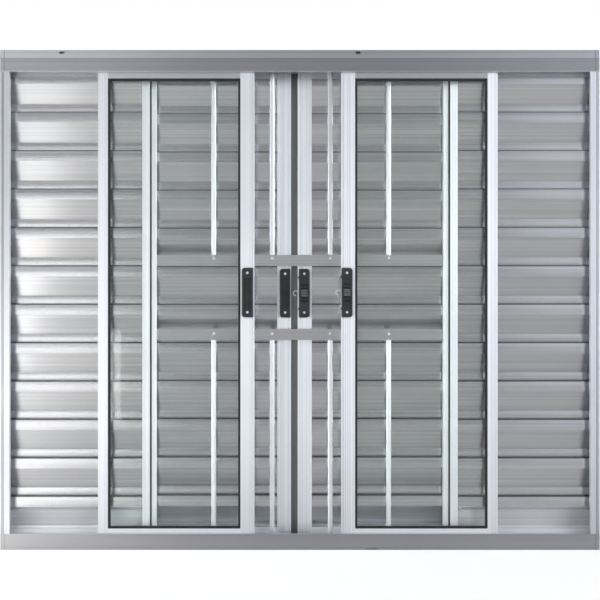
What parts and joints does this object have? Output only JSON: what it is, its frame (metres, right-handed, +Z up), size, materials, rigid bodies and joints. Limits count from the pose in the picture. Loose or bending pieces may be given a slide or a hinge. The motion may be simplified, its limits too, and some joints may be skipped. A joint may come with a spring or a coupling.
{
  "type": "louvred shutter window",
  "caption": "Aluminium window with sliding glass leaves before fixed and sliding louvred shutters and a security grille.",
  "frame": {"origin": "centre of the footprint, on the underside of the sill", "axes": "+X along the width, to the right seen from the room; +Y from the room to the outside; +Z up"},
  "size_m": [1.2, 0.12, 1],
  "materials": {
    "frame_aluminium": "extruded, satin anodised",
    "leaf_aluminium": "extruded, bright anodised",
    "slat_aluminium": "extruded, bright with drawing lines",
    "grille_aluminium": "extruded, satin anodised",
    "window_glass": "clear float glass",
    "glazing_rubber": "matt black",
    "seal_brush": "black pile",
    "pull_plastic": "black, fine grain",
    "hook_steel": "zinc plated",
    "guide_nylon": "natural nylon"
  },
  "bodies": {
    "root": {"fixed_shutter_left_bottom_rail": "leaf_aluminium", "fixed_shutter_left_inner_stile": "leaf_aluminium", "fixed_shutter_left_outer_stile": "leaf_aluminium", "fixed_shutter_left_slats": "slat_aluminium", "fixed_shutter_left_top_rail": "leaf_aluminium", "fixed_shutter_right_bottom_rail": "leaf_aluminium", "fixed_shutter_right_inner_stile": "leaf_aluminium", "fixed_shutter_right_outer_stile": "leaf_aluminium", "fixed_shutter_right_slats": "slat_aluminium", "fixed_shutter_right_top_rail": "leaf_aluminium", "frame_head": "frame_aluminium", "frame_jamb_left": "frame_aluminium", "frame_jamb_right": "frame_aluminium", "frame_sill": "frame_aluminium", "glass_leaf_left_bottom_rail": "leaf_aluminium", "glass_leaf_left_gasket": "glazing_rubber", "glass_leaf_left_inner_stile": "leaf_aluminium", "glass_leaf_left_outer_stile": "leaf_aluminium", "glass_leaf_left_pane": "window_glass", "glass_leaf_left_top_rail": "leaf_aluminium", "glass_leaf_right_bottom_rail": "leaf_aluminium", "glass_leaf_right_gasket": "glazing_rubber", "glass_leaf_right_inner_stile": "leaf_aluminium", "glass_leaf_right_outer_stile": "leaf_aluminium", "glass_leaf_right_pane": "window_glass", "glass_leaf_right_top_rail": "leaf_aluminium", "grille_bars_lower": "grille_aluminium", "grille_bars_upper": "grille_aluminium", "grille_brush_seals": "seal_brush", "grille_post_left": "grille_aluminium", "grille_post_right": "grille_aluminium", "grille_rail_lower": "grille_aluminium", "grille_rail_upper": "grille_aluminium", "latch_hooks": "hook_steel", "latch_pulls": "pull_plastic", "leaf_guide_blocks": "guide_nylon", "leaf_rollers": "guide_nylon", "shell_pulls": "pull_plastic", "sliding_shutter_left_bottom_rail": "leaf_aluminium", "sliding_shutter_left_meeting_stile": "leaf_aluminium", "sliding_shutter_left_outer_stile": "leaf_aluminium", "sliding_shutter_left_slats": "slat_aluminium", "sliding_shutter_left_top_rail": "leaf_aluminium", "sliding_shutter_right_bottom_rail": "leaf_aluminium", "sliding_shutter_right_meeting_stile": "leaf_aluminium", "sliding_shutter_right_outer_stile": "leaf_aluminium", "sliding_shutter_right_slats": "slat_aluminium", "sliding_shutter_right_top_rail": "leaf_aluminium"}
  },
  "joints": []
}
